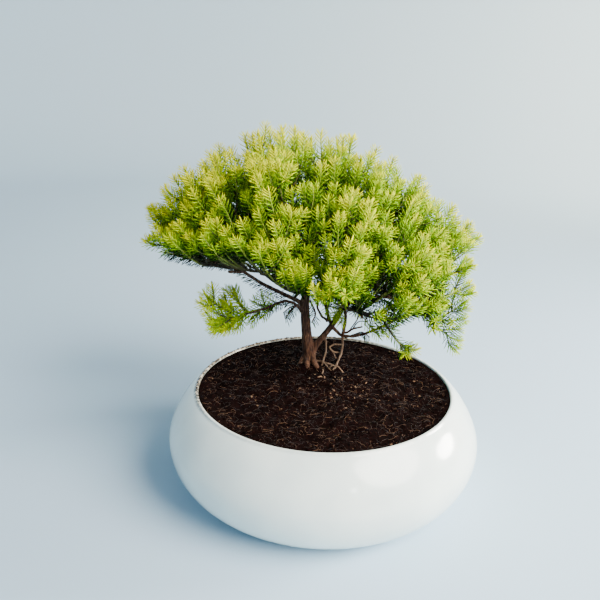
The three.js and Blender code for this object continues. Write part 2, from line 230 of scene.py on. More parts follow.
bowlValues = {
    "height": 87,
    "footRadius": 84,
    "bellyRadius": 130,
    "bellyHeight": 46,
    "rimRadius": 107.5,
    "lip": 2.6,
    "lipRise": 1,  # the height of the lip's round edge
    "wall": 5.5,
    "floor": 7,
    "footRing": 7,  # the width of the ring that it stands on
    "underside": 1.6,  # how far the underside is raised inside that ring
    "roundness": 0.55,  # of the lower curve: close to a quarter of an ellipse
    "aboveBelly": (0, 0, 12),  # how the upper curve leaves the belly
    "belowRim": (10, 0, -7),  # and where it comes to the rim from
    "turns": 144,
    "glaze": "e6f2ec",
    "glazeShade": "dce9e5",
    "bareClay": "cbbfae",
    "roughness": (0.14, 0.8),  # of the glaze and of the bare clay
    "bareBelow": (0.4, 0.9),  # the heights between which the foot's bare clay ends
    "lipAbove": (84.8, 86),  # the heights between which the stained lip begins
    "stainSide": (-0.66, 0.75, 0),  # the lip is stained most towards the back left
}


def wallCurves(inset, bottom, top):  # the bowl's lower and upper curve, set in from the outside
    v = bowlValues
    belly = Vector((v["bellyRadius"] - inset, 0, v["bellyHeight"]))
    rim = Vector((v["rimRadius"] - inset / 2, 0, top))
    foot = Vector((v["footRadius"], 0, bottom))
    level = Vector((between(foot.x, belly.x, v["roundness"]), 0, bottom))
    upright = Vector((belly.x, 0, between(belly.z, bottom, v["roundness"])))
    lower = interpolate_bezier(foot, level, upright, belly, 22)
    upper = interpolate_bezier(belly, belly + Vector(v["aboveBelly"]), rim + Vector(v["belowRim"]), rim, 18)
    return lower, upper


def makeGlaze():
    # White earthenware glaze: fired glass over clay, so it is smooth and mirrors the room, with slow waves
    # where it ran. Soil has stained the lip, and the foot's ring is bare clay
    v = bowlValues
    glazeRough, clayRough = v["roughness"]
    material, nodeTree, shader = newMaterial("whiteGlaze", {"Roughness": glazeRough, "IOR": 1.52})
    place = addNode(nodeTree, "TexCoord", output="Object")
    waveSize, stainSize, pitSize = 38, 3.2, 1.6  # millimetres
    wave = addNode(nodeTree, "TexNoise", {"Vector": place, "Scale": mmPerMetre / waveSize, "Detail": 2.0})
    tone = addNode(nodeTree, "ValToRGB", {"Fac": wave}, stops=[(0.35, v["glazeShade"]), (0.6, v["glaze"])])
    height = addNode(nodeTree, "SeparateXYZ", {"Vector": place}, "Z")
    bareEnd, glazeStart, lipStart, lipFull = np.multiply(v["bareBelow"] + v["lipAbove"], metresPerMm)
    isFoot = addNode(nodeTree, "MapRange", {"Value": height, "From Min": bareEnd, "From Max": glazeStart,
                                            "To Min": 1.0, "To Max": 0.0})
    isLip = addNode(nodeTree, "MapRange", {"Value": height, "From Min": lipStart, "From Max": lipFull,
                                           "To Min": 0.0, "To Max": 0.95})
    side = addNode(nodeTree, "VectorMath", {0: place, 1: v["stainSide"]}, "Value", operation="DOT_PRODUCT")
    isStained = addNode(nodeTree, "MapRange", {"Value": side, "From Min": 0.01, "From Max": 0.06,
                                               "To Min": 0.15, "To Max": 1.0})
    blots = addNode(nodeTree, "TexNoise", {"Vector": place, "Scale": mmPerMetre / stainSize, "Detail": 3.0})
    stain = addNode(nodeTree, "ValToRGB", {"Fac": blots},
                    stops=[(0.42, "2a1c12"), (0.5, "7a5f40"), (0.6, "d8cdb4")])
    stained = addNode(nodeTree, "Math", {0: isLip, 1: isStained}, operation="MULTIPLY")
    lipped = addNode(nodeTree, "Mix", {mixShare: stained, mixFirst: tone, mixSecond: stain}, mixResult,
                     data_type="RGBA")
    footed = addNode(nodeTree, "Mix", {mixShare: isFoot, mixFirst: lipped,
                                       mixSecond: linearColour(v["bareClay"])}, mixResult, data_type="RGBA")
    rough = addNode(nodeTree, "MapRange", {"Value": isFoot, "To Min": glazeRough, "To Max": clayRough})
    pits = addNode(nodeTree, "TexNoise", {"Vector": place, "Scale": mmPerMetre / pitSize, "Detail": 1.0})
    relief = addNode(nodeTree, "Math", {0: pits, 1: 0.04, 2: wave}, operation="MULTIPLY_ADD")
    bump = addNode(nodeTree, "Bump", {"Strength": 0.25, "Distance": 0.0012, "Height": relief})
    setSockets(shader, {"Base Color": footed, "Roughness": rough, "Normal": bump})
    return material


def makeBowl():
    v = bowlValues
    lipFoot = v["height"] - v["lipRise"]
    outLower, outUpper = wallCurves(0, 0, lipFoot)
    inLower, inUpper = wallCurves(v["wall"], v["floor"], v["height"] - v["lip"])
    ringInside = v["footRadius"] - v["footRing"]
    underside = [(0, v["underside"]), (ringInside - 2, v["underside"]),
                 (ringInside - 0.6, v["underside"] - 0.4), (ringInside, 0.3), (ringInside + 0.6, 0)]
    profile = [Vector((radius, 0, height)) for radius, height in underside]
    profile += outLower + outUpper[1:]
    middle = v["rimRadius"] - v["lip"] / 2
    lipSteps = 9
    for step in range(1, lipSteps):
        angle = math.pi * step / lipSteps
        radius = middle + v["lip"] / 2 * math.cos(angle)
        profile.append(Vector((radius, 0, lipFoot + v["lipRise"] * math.sin(angle))))
    profile.append(Vector((v["rimRadius"] - v["lip"], 0, v["height"] - 1.2)))
    profile += inUpper[::-1] + inLower[::-1][1:] + [Vector((0, 0, v["floor"]))]
    finishPiece("glazedBowl", spinProfile(profile, v["turns"]), [makeGlaze()], "glazed_bowl", "bowl")


makeBowl()
print("bowl made")


soilValues = {
    "top": 83.5,
    "mound": 4.5,
    "moundSpread": 42,
    "ripple": 0.7,
    "bank": 1.9,  # how much higher it lies against the wall
    "clearance": 0.3,  # between its sides and the bowl
    "clods": (1.5, 9),  # the height and size of the bigger lumps
    "grains": (0.9, 3.2),
    "rings": 66,
    "turns": 288,
    "crumbs": 2400,
    "crumbSize": (0.6, 2.6),
    "rimCrumbs": 90,  # specks that fell on the lip
    "rimTurns": (95, 200),  # where they lie, from the back round to the left, in degrees
    "paleCrumbs": 26,  # bits of pale bark in front of the trunk
    "paleSize": (0.7, 1.7),
    "palePatch": (12, -4, 26),  # the middle of where they lie, and how far it reaches to each side
    "fibres": 2400,
    "fibreLength": (1.6, 11),
    "fibreRadius": 0.1,
    "fibreCurl": 2.6,  # how far one turns from end to end at most, in radians
    "fibreHop": (0.2, 1.1),  # how high its middle stands off the soil
    "trunkFoot": (-12, 45),
}
soilEdge = bowlValues["rimRadius"] - bowlValues["lip"]


def soilHeight(x, y):
    v = soilValues
    fromTrunk = math.hypot(x - v["trunkFoot"][0], y - v["trunkFoot"][1]) / v["moundSpread"]
    outward = min(1, math.hypot(x, y) / soilEdge)
    bank = v["bank"] * outward ** 12
    fade = 1 - outward ** 6  # the mound and the slow ripples end at the wall
    ripples = math.sin(x * 0.11 + 1) * math.cos(y * 0.13) + 0.6 * math.sin(x * 0.23 - y * 0.19)
    return v["top"] + bank + fade * (v["mound"] * math.exp(-fromTrunk * fromTrunk) + v["ripple"] * ripples)


def crumbledHeight(x, y):
    height = soilHeight(x, y)
    for rise, size in (soilValues["clods"], soilValues["grains"]):
        level = rise * 7  # each kind is cut from the noise at a level of its own
        height += rise * noise.noise(Vector((x / size, y / size, level)))
    return height


def makePeat():
    # Peat potting mix: damp dark crumbs that take the light in, browner and paler where they have dried
    material, nodeTree, shader = newMaterial("peatMix", {"Roughness": 0.95, "Specular IOR Level": 0.03})
    place = addNode(nodeTree, "TexCoord", output="Object")
    crumbSize, patchSize = 1.4, 14  # millimetres
    crumbs = addNode(nodeTree, "TexNoise", {"Vector": place, "Scale": mmPerMetre / crumbSize, "Detail": 4.0})
    patches = addNode(nodeTree, "TexNoise", {"Vector": place, "Scale": mmPerMetre / patchSize,
                                             "Detail": 2.0})
    tone = addNode(nodeTree, "Attribute", output="Fac", attribute_name="tone")
    mottled = addNode(nodeTree, "Math", {0: patches, 1: 0.35, 2: crumbs}, operation="MULTIPLY_ADD")
    dryness = addNode(nodeTree, "Math", {0: tone, 1: mottled}, operation="ADD")
    colour = addNode(nodeTree, "ValToRGB", {"Fac": dryness}, stops=[
        (0.4, "020101"), (0.62, "080302"), (0.8, "140706"), (0.94, "24130f"), (1.0, "7c6450")])
    bump = addNode(nodeTree, "Bump", {"Strength": 0.7, "Distance": 0.0008, "Height": crumbs})
    setSockets(shader, {"Base Color": colour, "Normal": bump})
    return material


def makeSoil(material):
    v = soilValues
    clearance = v["clearance"]
    edge = soilEdge - clearance
    bottom, shoulder = bowlValues["floor"] + clearance, v["top"] - 0.4
    inLower, inUpper = wallCurves(bowlValues["wall"], bottom, shoulder)
    profile = [Vector((0, 0, bottom))]
    profile += [point - Vector((1.5 * clearance, 0, 0)) for point in inLower[::3] + inUpper[3:-1:3]]
    profile.append(Vector((edge, 0, shoulder)))
    profile += [Vector((edge * (1 - ring / v["rings"]), 0, v["top"])) for ring in range(v["rings"] + 1)]
    bm = spinProfile(profile, v["turns"])
    for corner in bm.verts:
        x, y, z = corner.co
        if z > v["top"] - 0.01:  # the top is heaped and crumbled, and even along the last 2 mm at the wall
            inward = within((edge - math.hypot(x, y)) / 2)
            corner.co.z = between(v["top"] + v["bank"], crumbledHeight(x, y), inward)
    bm.verts.layers.float.new("tone")
    finishPiece("pottingSoil", bm, [material], "potting_soil", "soil")


def stampOf(bm, attribute):  # a small mesh that is stamped many times, with its own corners at rest
    mesh = bpy.data.meshes.new("stamp")
    bm.to_mesh(mesh)
    bm.free()
    corners = np.zeros(len(mesh.vertices) * 3, np.float32)
    mesh.vertices.foreach_get("co", corners)
    mesh.attributes.new(attribute, "FLOAT", "POINT")
    return {"mesh": mesh, "corners": corners.reshape(-1, 3), "attribute": attribute}


def press(bm, stamp, turn, place, tint):  # adds the stamp, turned by a 3x3 array and moved to its place
    mesh = stamp["mesh"]
    corners = stamp["corners"] @ turn.T + place
    mesh.vertices.foreach_set("co", corners.astype(np.float32).ravel())
    tints = np.broadcast_to(np.asarray(tint, np.float32), (len(corners),))
    mesh.attributes[stamp["attribute"]].data.foreach_set("value", np.ascontiguousarray(tints))
    bm.from_mesh(mesh)


def makeCrumbs(material):
    v = soilValues
    shape = bmesh.new()
    bmesh.ops.create_icosphere(shape, subdivisions=1, radius=0.5)
    for i, corner in enumerate(shape.verts):
        corner.co *= 0.8 + 0.4 * draw(300 + i)
    stamp = stampOf(shape, "tone")
    bm = bmesh.new()
    bm.verts.layers.float.new("tone")
    kinds = ["strewn"] * v["crumbs"] + ["fallen"] * v["rimCrumbs"] + ["pale"] * v["paleCrumbs"]
    for i, kind in enumerate(kinds):
        draws = [draw(5000 + 8 * i + k) for k in range(8)]
        size = between(*v["crumbSize"], draws[0] ** 3)
        if kind == "pale":
            middleX, middleY, reach = v["palePatch"]
            x = middleX + reach * between(-1, 1, draws[1])
            y = middleY + reach * between(-1, 1, draws[2])
            size = between(*v["paleSize"], draws[0])
        else:
            turn = i * goldenTurn
            radius = (soilEdge - 1.8) * math.sqrt((i + 0.5) / v["crumbs"])
            if kind == "fallen":
                turn = math.radians(between(*v["rimTurns"], draws[1]))
                radius = soilEdge + between(-0.4, 2.0, draws[2])
                size *= 0.7
            x, y = radius * math.cos(turn), radius * math.sin(turn)
        if kind == "fallen":
            height = bowlValues["height"] + 0.1 * size
        else:
            height = crumbledHeight(x, y) + 0.12 * size
        stretch = 2.5 if kind == "pale" else 1
        spin = Matrix.Rotation(2 * math.pi * draws[3], 3, "Z") @ Matrix.Rotation(0.6 * draws[4], 3, "X")
        squash = Matrix.Diagonal((size * (1 + stretch * draws[5]), size, size * 0.6)).to_3x3()
        tone = 0.5 if kind == "pale" or draws[6] > 0.99 else between(-0.14, 0.2, draws[7])
        press(bm, stamp, np.array(spin @ squash), np.array((x, y, height)), tone)
    finishPiece("soilCrumbs", bm, [material], "potting_soil")


def sideOf(tangent):  # a direction square to a line's own
    return Vector((0.31, -0.83, 0.47)).cross(tangent)


def framesOn(points):  # untwisted frames at the points of a line
    frames = []
    side = None
    for i, point in enumerate(points):
        tangent = (points[min(i + 1, len(points) - 1)] - points[max(i - 1, 0)]).normalized()
        side = sideOf(tangent) if side is None else side
        side = (side - tangent * side.dot(tangent)).normalized()
        turn = Matrix((side, tangent.cross(side), tangent)).transposed().to_4x4()
        frames.append(Matrix.Translation(point) @ turn)
    return frames


def addTube(bm, points, radii, sides, finish=0, **tints):  # a capped ring, extruded from point to point
    tube = bmesh.new()
    frames = framesOn(points)
    ring = bmesh.ops.create_circle(tube, cap_ends=True, segments=sides, radius=radii[0], matrix=frames[0])
    face = ring["verts"][0].link_faces[0]
    for i in range(1, len(points)):
        grown = bmesh.ops.extrude_face_region(tube, geom=[face])["geom"]
        face = next(part for part in grown if isinstance(part, bmesh.types.BMFace))
        step = frames[i] @ Matrix.Scale(radii[i] / radii[i - 1], 4) @ frames[i - 1].inverted()
        bmesh.ops.transform(tube, matrix=step, verts=face.verts)
    bmesh.ops.recalc_face_normals(tube, faces=tube.faces)
    for name, (footTint, endTint) in tints.items():
        layer = tube.verts.layers.float.new(name)
        for i, corner in enumerate(tube.verts):
            corner[layer] = between(footTint, endTint, (i // sides) / (len(points) - 1))
    for part in tube.faces:
        part.material_index = finish
    mesh = bpy.data.meshes.new("tube")
    tube.to_mesh(mesh)
    tube.free()
    bm.from_mesh(mesh)
    bpy.data.meshes.remove(mesh)


def makeFibres():
    # Coco fibre: dry tan hairs from the husk, with a faint shine, that curl out of the mix
    material, nodeTree, shader = newMaterial("cocoFibre", {"Roughness": 0.7})
    tone = addNode(nodeTree, "Attribute", output="Fac", attribute_name="tone")
    colour = addNode(nodeTree, "ValToRGB", {"Fac": tone},
                     stops=[(0.0, "120605"), (0.4, "22100a"), (1.0, "7a5638")])
    setSockets(shader, {"Base Color": colour})
    v = soilValues
    bm = bmesh.new()
    edge = soilEdge - 3
    for i in range(v["fibres"]):
        draws = [draw(40000 + 8 * i + k) for k in range(8)]
        length = between(*v["fibreLength"], draws[0] ** 2.2)
        radius = edge * math.sqrt(draws[1])
        turn = 2 * math.pi * draws[2]
        x, y = radius * math.cos(turn), radius * math.sin(turn)
        heading = 2 * math.pi * draws[3]
        curl = between(-1, 1, draws[4]) * v["fibreCurl"] / length
        hop = between(*v["fibreHop"], draws[5])
        steps = 3 if length < 6 else 5
        points = []
        for share in (step / steps for step in range(steps + 1)):
            if math.hypot(x, y) < edge + 2:
                lift = hop * math.sin(math.pi * share) + v["fibreRadius"]
                points.append(Vector((x, y, crumbledHeight(x, y) + lift)))
            heading += curl * length / steps * (0.4 + 1.2 * share)
            x += length / steps * math.cos(heading)
            y += length / steps * math.sin(heading)
        if len(points) > steps:  # one that would run into the bowl is left out
            radii = [v["fibreRadius"] * (1 - 0.5 * abs(k / steps - 0.4)) for k in range(steps + 1)]
            tone = draws[6] ** 1.9
            addTube(bm, points, radii, 3, tone=(tone, tone))
    finishPiece("cocoFibres", bm, [material], "potting_soil")


peat = makePeat()
makeSoil(peat)
makeCrumbs(peat)
makeFibres()
print("soil, crumbs and fibres made")


treeValues = {
    "voxel": 0.62,
    "smoothing": 4,
    "swell": 0.22,  # makes up for what the smoothing takes off
    "furrow": (0.34, 1.5, 9),  # depth, width and length of the bark's furrows
    "limbFurrow": 0.4,  # their depth on the limbs against that on the trunk
    "trunkReach": 8,  # the trunk is what lies this close to its middle line
    "paleBelow": (114, 100),  # the heights between which the bare roots turn pale
    "rootReach": (2.56, 0.96),  # and how close to their middle lines
    "greyAndPaintedLightAbove": (100, 170),  # the heights between which the bark turns paler and greyer; the paler is partly painted light against the shade under the crown
    "knots": [((-15.5, 41, 112), 3.2, 1.3), ((-13, 41.5, 128), 2.6, 1.0), ((-19, 43, 139), 3.4, 1.5),
              ((-9, 42, 98), 3.6, 1.2), ((-15.5, 42, 101), 2.4, 0.8)],  # place, size and height
    "trunk": [(-12, 45, 56), (-12, 45, 83), (-12, 45, 93), (-14, 45, 107), (-16, 45, 125), (-17, 45, 147),
              (-14, 46, 168), (-10, 47, 188)],
    "roots": [[(1, 45.5, 114), (3, 42, 102), (0, 39, 90), (-3, 37, 78)],
              [(17, 44, 113.5), (17, 40, 102), (12, 34, 90), (7, 31, 78)]],
}


# Thin wood: each piece's points, and its radius at both ends
thinWoodValues = {
    "twigs": [  # bare ones under the crown
        ([(-78, 38, 180), (-92, 31, 183), (-106, 24, 187), (-122, 19, 192), (-136, 17, 196)], 1.1, 0.5),
        ([(-18, 44, 148), (-24, 43, 142), (-29, 42, 137), (-34, 41, 130)], 0.9, 0.5),
        ([(-24, 43, 142), (-30, 41, 141), (-36, 40, 136)], 0.7, 0.4),
        ([(-13, 44, 147), (-9, 43, 139), (-8, 42, 133), (-11, 41, 127)], 0.9, 0.5),
        ([(4, 44, 127), (3, 43, 138), (3, 42, 150), (4, 42, 162)], 1.5, 1.1),
        ([(3, 44, 127), (-3, 43, 134), (-6, 42, 141), (-7, 42, 154)], 1.2, 0.8),
        ([(20, 43, 138), (28, 42, 139), (35, 41, 137), (42, 40, 133)], 1.3, 0.8),
        ([(19, 43.5, 117), (26, 42, 121), (34, 41, 124)], 1.1, 0.7),
        ([(19, 44, 112), (28, 43, 116), (34, 42, 118), (41, 41, 114)], 1.0, 0.5),
        ([(33, 41, 138), (29, 41, 130), (24, 42, 121)], 0.7, 0.5),
        ([(28, 42, 139), (31, 41, 146), (38, 40, 150)], 0.8, 0.5),
        ([(38, 41, 136), (36, 40, 128), (40, 40, 122)], 0.6, 0.4),
        ([(26, 42, 121), (30, 41, 128), (38, 40, 130)], 0.6, 0.4),
        ([(17, 44, 114), (19, 43, 130), (18, 43, 148), (23, 42, 160)], 1.6, 1.2),
    ],
    "flare": [  # where the trunk's foot spreads
        ([(-13, 44, 98), (-14, 39, 91), (-14, 33, 87), (-15, 26, 83)], 3.4, 1.6),
        ([(-10, 44, 98), (-8, 39, 91), (-5, 33, 87), (-4, 27, 83)], 3.2, 1.4),
        ([(-15, 44, 96), (-19, 41, 90), (-24, 38, 85)], 2.4, 0.9),
    ],
    "roots": [  # on the soil, and between the bare roots
        ([(-12, 42, 90), (-6, 36, 87.6), (0, 29, 87), (-1, 23, 86.6)], 1.3, 0.5),
        ([(-13, 44, 91), (-20, 38, 87.8), (-26, 34, 87.2)], 1.3, 0.4),
        ([(-9, 44, 90), (2, 42, 88.4), (10, 36, 87.6), (9, 29, 87)], 1.1, 0.4),
        ([(5, 33, 86), (8, 30, 91), (13, 28, 91), (18, 27, 86)], 0.7, 0.5),
        ([(5.5, 42, 103.5), (10, 43, 105.5), (16.5, 42, 106.5)], 0.8, 0.6),
        ([(5.5, 42, 103.5), (8.5, 41, 99.8), (12, 40, 99.4), (16.5, 39, 100.2)], 0.7, 0.5),
        ([(8.5, 41, 99.5), (10, 40, 97), (11.5, 38, 94.5)], 0.5, 0.4),
        ([(1, 39, 90), (4, 35, 88), (7, 30, 86)], 0.5, 0.4),
    ],
    "paleness": {"twigs": 0.0, "flare": 0.05, "roots": 0.8},
    "crookSize": 6.25,
    "crookedness": {"twigs": 0.8, "flare": 0.5, "roots": 0.5},
}


def smoothLine(points, steps):  # a smooth line through the points
    knots = [Vector(p) for p in points]
    knots = [knots[0] * 2 - knots[1], *knots, knots[-1] * 2 - knots[-2]]
    line = []
    for a, b, c, d in zip(knots, knots[1:], knots[2:], knots[3:]):
        for step in range(steps):
            t = step / steps
            line.append(0.5 * (2 * b + (c - a) * t + (2 * a - 5 * b + 4 * c - d) * t * t
                               + (3 * b - a - 3 * c + d) * t ** 3))
    line.append(knots[-2])
    return line


def distanceTo(line, point):
    best = 1e9
    for a, b in zip(line, line[1:]):
        run = b - a
        share = within((point - a).dot(run) / run.length_squared)
        best = min(best, (a + run * share - point).length)
    return best


def makeBark():
    # Conifer bark: thin fibrous strips, dark reddish brown on the trunk, paler and greyer on the limbs, and
    # tan on the bare roots; the upper bark's paleness is partly painted light against the shade under the
    # crown
    material, nodeTree, shader = newMaterial("stringyBark", {"Roughness": 0.88, "Specular IOR Level": 0.3})
    place = addNode(nodeTree, "TexCoord", output="Object")
    stripWidth = 1.3  # millimetres; the strips are six times as long
    stretched = addNode(nodeTree, "Mapping", {"Vector": place, "Scale": (1, 1, 0.16)})
    strips = addNode(nodeTree, "TexNoise", {"Vector": stretched, "Scale": mmPerMetre / stripWidth,
                                            "Detail": 5.0})
    height = addNode(nodeTree, "SeparateXYZ", {"Vector": place}, "Z")
    brownEnd, greyAndLitStart = np.multiply(treeValues["greyAndPaintedLightAbove"], metresPerMm)
    upward = addNode(nodeTree, "MapRange", {"Value": height, "From Min": brownEnd, "From Max": greyAndLitStart})
    low = addNode(nodeTree, "ValToRGB", {"Fac": strips},
                  stops=[(0.32, "1c0d08"), (0.5, "412618"), (0.68, "64422c")])
    # paler and greyer higher up, the paler partly painted light
    high = addNode(nodeTree, "ValToRGB", {"Fac": strips},
                   stops=[(0.35, "281a14"), (0.55, "5a4234"), (0.72, "86664e")])
    wood = addNode(nodeTree, "Mix", {mixShare: upward, mixFirst: low, mixSecond: high}, mixResult,
                   data_type="RGBA")
    pale = addNode(nodeTree, "Attribute", output="Fac", attribute_name="paleness")
    rooty = addNode(nodeTree, "ValToRGB", {"Fac": strips}, stops=[(0.35, "5f4838"), (0.65, "9c8168")])
    mixed = addNode(nodeTree, "Mix", {mixShare: pale, mixFirst: wood, mixSecond: rooty}, mixResult,
                    data_type="RGBA")
    bump = addNode(nodeTree, "Bump", {"Strength": 0.6, "Distance": 0.0006, "Height": strips})
    setSockets(shader, {"Base Color": mixed, "Normal": bump})
    return material


def makeTree(material):
    v = treeValues
    bm = bmesh.new()
    bm.from_mesh(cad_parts["tree"].data)
    bmesh.ops.scale(bm, vec=(mmPerMetre, mmPerMetre, mmPerMetre), verts=bm.verts)
    bmesh.ops.remove_doubles(bm, verts=bm.verts, dist=0.002)
    draft = bpy.data.meshes.new("woodDraft")
    bm.to_mesh(draft)
    bm.free()
    helper = bpy.data.objects.new("woodDraft", draft)
    bpy.context.scene.collection.objects.link(helper)
    remesh = helper.modifiers.new("fine", "REMESH")
    remesh.mode = "VOXEL"
    remesh.voxel_size = v["voxel"]
    evaluated = helper.evaluated_get(bpy.context.evaluated_depsgraph_get())
    bm = bmesh.new()
    bm.from_mesh(evaluated.to_mesh())
    evaluated.to_mesh_clear()
    bpy.data.objects.remove(helper)
    for _ in range(v["smoothing"]):
        bmesh.ops.smooth_vert(bm, verts=bm.verts, factor=0.5,
                              use_axis_x=True, use_axis_y=True, use_axis_z=True)
    bm.normal_update()
    paleness = bm.verts.layers.float.new("paleness")
    trunk = [Vector(p) for p in v["trunk"]]
    roots = [[Vector(p) for p in root] for root in v["roots"]]
    depth, width, length = v["furrow"]
    moves = []
    for corner in bm.verts:
        place = corner.co
        fromTrunk = distanceTo(trunk, place)
        furrow = depth if fromTrunk < v["trunkReach"] else v["limbFurrow"] * depth
        ridges = noise.noise(Vector((place.x / width, place.y / width, place.z / length)))
        move = v["swell"] + furrow * (0.6 - 2.2 * abs(ridges))  # strips stand out between the furrows
        for centre, size, height in v["knots"]:  # each knot is a knob with a dent in its middle
            reach = (place - Vector(centre)).length / size
            if reach < 2:
                move += height * math.exp(-reach * reach) - 0.5 * height * math.exp(-9 * reach * reach)
        if place.z < v["paleBelow"][0] and fromTrunk > 5:
            fromRoot = min(distanceTo(root, place) for root in roots)
            corner[paleness] = climb(fromRoot, *v["rootReach"]) * climb(place.z, *v["paleBelow"])
        moves.append((corner, corner.normal * move))
    for corner, move in moves:
        corner.co += move
    finishPiece("treeWood", bm, [material], "bark", "tree")


def makeThinWood(material):
    v = thinWoodValues
    bm = bmesh.new()
    for kind, paleness in v["paleness"].items():
        for points, footRadius, endRadius in v[kind]:
            line = smoothLine(points, 5)
            for point in line[1:]:
                push = [noise.noise(point / v["crookSize"] + Vector((0, 0, level))) for level in (0, 31, 62)]
                point += Vector(push) * v["crookedness"][kind]
            radii = [between(footRadius, endRadius, i / (len(line) - 1)) for i in range(len(line))]
            addTube(bm, line, radii, 6 if footRadius < 2 else 10, paleness=(paleness, paleness))
    finishPiece("thinTwigs", bm, [material], "bark")


bark = makeBark()
makeTree(bark)
makeThinWood(bark)
print("wood made")


crownValues = {
    "hub": Vector((-4, 45, 168)),  # the sprays point away from here
    "middle": Vector((-9, 45, 205)),  # of the widest level
    "width": 134,
    "depth": 104,
    "rise": 86,
    "fullness": 1.9,  # of the dome's curve from side to side
    "lessFullRight": 0.3,
    "roundTop": 0.625,
    "droop": 42,
    "sideDroop": 24,
    "frontLift": 12,  # how much higher the skirt's edge is at the front, and more so at the front left
    "lean": 11,
    "lowest": -0.36,
    "sprays": 29,
    "firstTurn": 0.72,
    "unevenTurn": 0.35,
    # The crown's underside: its heights from left to right under the middle, and its climb to the front
    "undersidePlaces": (-160, -138, -121, -95, -69, -56, -43, -21, 1, 18, 45, 67, 103, 133, 146),
    "undersideHeights": (196, 188, 186, 186, 184, 181, 174, 156, 149, 144, 131, 137, 141, 146, 180),
    "undersideRise": 0.33,
    "undersideUneven": 7,
    # The lower right face, where single shoots stand apart: its heights and how far right it comes there. It
    # and the hollow are given as the camera sees them, level with the pot's middle
    "sight": (0.2, 0.3),  # how far the line of sight moves across and down for each millimetre of depth
    "rightHeights": (138, 150, 163, 180, 203, 210),
    "rightLimits": (150, 92, 91, 96, 98, 150),
    "hollow": (46, 169, 11),  # where the inside shows: across and up, and its radius
    "exposed": (0.53, 0.93),  # from the painted shade inside to full light, as shares of the way out to the face
}
sprayValues = {
    "length": 62,
    "footDrop": (14, 6),  # how much lower their feet are, at the crown's widest and at its top
    "lift": 1,
    "hangingLift": 0.4,
    "sideFrom": 0.22,
    "sideTo": 0.77,
    "sideLean": 0.62,
    "sideLength": 33,
    "sideTurnUp": (0.45, 0.18),  # how far a side shoot's end follows its stem, and how far it turns up
    "sideShoots": 3,
    "risingShoots": 420,  # spread evenly over the whole crown
    "risingLift": 0.85,
    "risingLength": 46,
    "unevenDepth": (-0.01, 0.25),  # how far a rising shoot may end inside the crown's face, as a share
    "innerShoots": 170,  # old dark ones that fill the crown behind its face
    "innerDepth": (0.32, 0.62),
    "smallShoots": (1, 2),  # how many leave each shoot, by turns
    "smallFrom": 0.35,
    "smallTo": 0.7,
    "smallLean": 0.55,
    "smallLength": 15,
    "smallTurnUp": (0.6, 0.3),
    "bunching": 0.26,  # how far whole bunches stand out of the crown's face or back into it
    "bunchSize": 27,
    # The hanging sprays: foot and tip, how they are clothed, and each one's side shoots, with how far along
    # it they leave it and their tips
    "hanging": [[(-64, 15, 145), (-94, 1, 144)], [(52, 26, 134), (71, 0, 118)],
                [(70, 28, 146), (114, 2, 148)]],
    "hangingLooks": ("paintedLightLeftSpray", "sprig", "sprig"),
    "hangingShoots": [
        [(0.25, (-99, -1, 167)), (0.0, (-77, 8, 165)), (0.1, (-93, 1, 133)), (0.45, (-98, 0, 156)),
         (0.1, (-86, 3, 136)), (0.1, (-84, 6, 155)), (0.0, (-76, 8, 140)), (0.0, (-72, 9, 155)),
         (0.3, (-88, 24, 153)), (0.5, (-92, -15, 144))],
        [(0.72, (75, -2, 122)), (0.66, (66, -3, 118)), (0.6, (72, 6, 121))],
        [(0.4, (111, 0, 129)), (0.3, (96, 5, 163)), (0.5, (112, 2, 164)), (0.35, (95, 24, 152)),
         (0.3, (88, -10, 150))],
    ],
}
# Each kind of shoot: the bare length at its foot, and its radius at both ends
shootWood = {
    "main": (9.0, 1.1, 0.45),
    "side": (2.5, 0.75, 0.4),
    "rising": (9.0, 0.85, 0.4),
    "small": (1.0, 0.5, 0.35),
    "inner": (2.5, 0.8, 0.4),
    "low": (1.5, 0.6, 0.35),
    "edge": (1.0, 0.7, 0.4),
}
# How shoots are clothed: how young the needles are from foot to end, how golden the newest are, how far
# apart they stand against the crown's, whether they may leave its outline, and a bare length of their own
shootLooks = {
    "crown": {"youth": (0.14, 0.66), "golden": 0.42, "sparse": 1.0, "isFree": False},
    "inner": {"youth": (0.0, 0.25), "golden": 0.1, "sparse": 1.25, "isFree": False},
    # the left spray hangs in the crown's shade, and its needles start higher on the ramp: painted light
    "paintedLightLeftSpray": {"youth": (0.46, 0.74), "golden": 0.18, "sparse": 0.75, "isFree": True, "bare": 1.0},
    "sprig": {"youth": (0.14, 0.66), "golden": 0.42, "sparse": 0.75, "isFree": True},
    "low": {"youth": (0.35, 0.5), "golden": 0.25, "sparse": 1.0, "isFree": True},
    "edge": {"youth": (0.35, 0.75), "golden": 0.42, "sparse": 0.62, "isFree": True},
    "limb": {"youth": (0.3, 0.5), "golden": 0.0, "sparse": 0.5, "isFree": True},
}
# Short green shoots low in the crown that leave the wood itself: foot and tip
lowShoots = [
    [(16, 43, 143), (9, 33, 133)], [(4, 42, 142), (13, 33, 145)], [(4, 42, 150), (2, 32, 139)],
    [(32, 41, 136), (42, 30, 126)], [(38, 40, 140), (50, 28, 133)], [(24, 42, 146), (30, 30, 140)],
    [(40, 38, 128), (48, 26, 121)], [(-16, 43, 158), (-8, 32, 150)], [(50, 34, 127), (60, 22, 131)],
    [(-6, 42, 158), (-5, 30, 152)], [(0, 42, 160), (3, 29, 157)], [(17, 43, 133), (14, 31, 131)],
    [(5, 43, 131), (12, 31, 138)], [(17, 43, 140), (9, 31, 141)], [(44, 36, 130), (55, 24, 124)],
    [(-41, 28, 149), (-49, 21, 157)], [(-45, 26, 148), (-52, 15, 141)], [(-51, 22, 147), (-60, 14, 156)],
    [(-44, 27, 148), (-50, 36, 142)], [(-55, 20, 145), (-62, 12, 136)], [(-50, 23, 147), (-55, 31, 156)],
]
